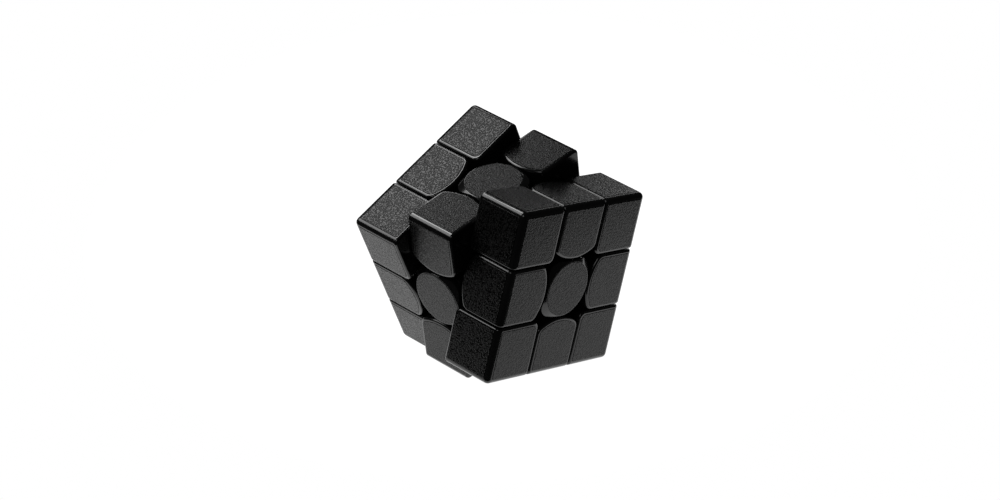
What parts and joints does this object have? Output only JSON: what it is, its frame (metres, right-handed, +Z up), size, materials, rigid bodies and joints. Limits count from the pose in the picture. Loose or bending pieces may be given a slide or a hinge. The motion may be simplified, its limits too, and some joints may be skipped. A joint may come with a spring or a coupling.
{
  "type": "cube twisty puzzle",
  "caption": "Cube twisty puzzle with round centre discs and curved edge pieces, its front and back slices part-turned about a shared axis.",
  "frame": {"origin": "bottom centre of the puzzle's box, on the surface it stands on", "axes": "+Z up; the front and back slices turn about Y, and the front slice faces -Y"},
  "size_m": [0.0712, 0.057, 0.0713],
  "materials": {
    "body": "glossy moulded black",
    "tile": "fine-grained matte black",
    "core": "moulded satin",
    "steel": "zinc-plated"
  },
  "bodies": {
    "core_and_middle_slice": {"core": "core", "edge_up_left": "body", "edge_up_right": "body", "edge_down_left": "body", "edge_down_right": "body", "screw_front": "steel", "spring_front": "steel", "screw_washer_front": "steel", "screw_back": "steel", "spring_back": "steel", "screw_washer_back": "steel", "screw_up": "steel", "spring_up": "steel", "screw_washer_up": "steel", "screw_down": "steel", "spring_down": "steel", "screw_washer_down": "steel", "screw_left": "steel", "spring_left": "steel", "screw_washer_left": "steel", "screw_right": "steel", "spring_right": "steel", "screw_washer_right": "steel"},
    "front_spring_seat": {"spring_seat_front": "steel"},
    "back_spring_seat": {"spring_seat_back": "steel"},
    "front_slice": {"centre_front": "body", "centre_cap_front": "tile", "edge_front_up": "body", "edge_front_down": "body", "edge_front_left": "body", "edge_front_right": "body", "corner_front_up_left": "body", "corner_front_up_right": "body", "corner_front_down_left": "body", "corner_front_down_right": "body"},
    "back_slice": {"centre_back": "body", "centre_cap_back": "tile", "edge_back_up": "body", "edge_back_down": "body", "edge_back_left": "body", "edge_back_right": "body", "corner_back_up_left": "body", "corner_back_up_right": "body", "corner_back_down_left": "body", "corner_back_down_right": "body"},
    "up_centre": {"centre_up": "body", "centre_cap_up": "tile", "spring_seat_up": "steel"},
    "down_centre": {"centre_down": "body", "centre_cap_down": "tile", "spring_seat_down": "steel"},
    "left_centre": {"centre_left": "body", "centre_cap_left": "tile", "spring_seat_left": "steel"},
    "right_centre": {"centre_right": "body", "centre_cap_right": "tile", "spring_seat_right": "steel"}
  },
  "joints": [
    {"name": "front_slice_float", "type": "slide", "parent": "core_and_middle_slice", "child": "front_spring_seat", "axis": [0, -1, 0], "range_m": [0, 0.0006], "stiffness_N_per_m": 900, "springref_m": -0.001, "deforming": ["spring_front"]},
    {"name": "front_slice_turn", "type": "hinge", "parent": "front_spring_seat", "child": "front_slice", "pos_m": [0, 0, 0.03565], "axis": [0, -1, 0], "continuous": true},
    {"name": "back_slice_float", "type": "slide", "parent": "core_and_middle_slice", "child": "back_spring_seat", "axis": [0, 1, 0], "range_m": [0, 0.0006], "stiffness_N_per_m": 900, "springref_m": -0.001, "deforming": ["spring_back"]},
    {"name": "back_slice_turn", "type": "hinge", "parent": "back_spring_seat", "child": "back_slice", "pos_m": [0, 0, 0.03565], "axis": [0, 1, 0], "continuous": true},
    {"name": "up_centre_float", "type": "slide", "parent": "core_and_middle_slice", "child": "up_centre", "axis": [-0.0906, 0, 0.9959], "range_m": [0, 0.0006], "stiffness_N_per_m": 900, "springref_m": -0.001, "deforming": ["spring_up"]},
    {"name": "down_centre_float", "type": "slide", "parent": "core_and_middle_slice", "child": "down_centre", "axis": [0.0906, 0, -0.9959], "range_m": [0, 0.0006], "stiffness_N_per_m": 900, "springref_m": -0.001, "deforming": ["spring_down"]},
    {"name": "left_centre_float", "type": "slide", "parent": "core_and_middle_slice", "child": "left_centre", "axis": [-0.9959, 0, -0.0906], "range_m": [0, 0.0006], "stiffness_N_per_m": 900, "springref_m": -0.001, "deforming": ["spring_left"]},
    {"name": "right_centre_float", "type": "slide", "parent": "core_and_middle_slice", "child": "right_centre", "axis": [0.9959, 0, 0.0906], "range_m": [0, 0.0006], "stiffness_N_per_m": 900, "springref_m": -0.001, "deforming": ["spring_right"]}
  ]
}
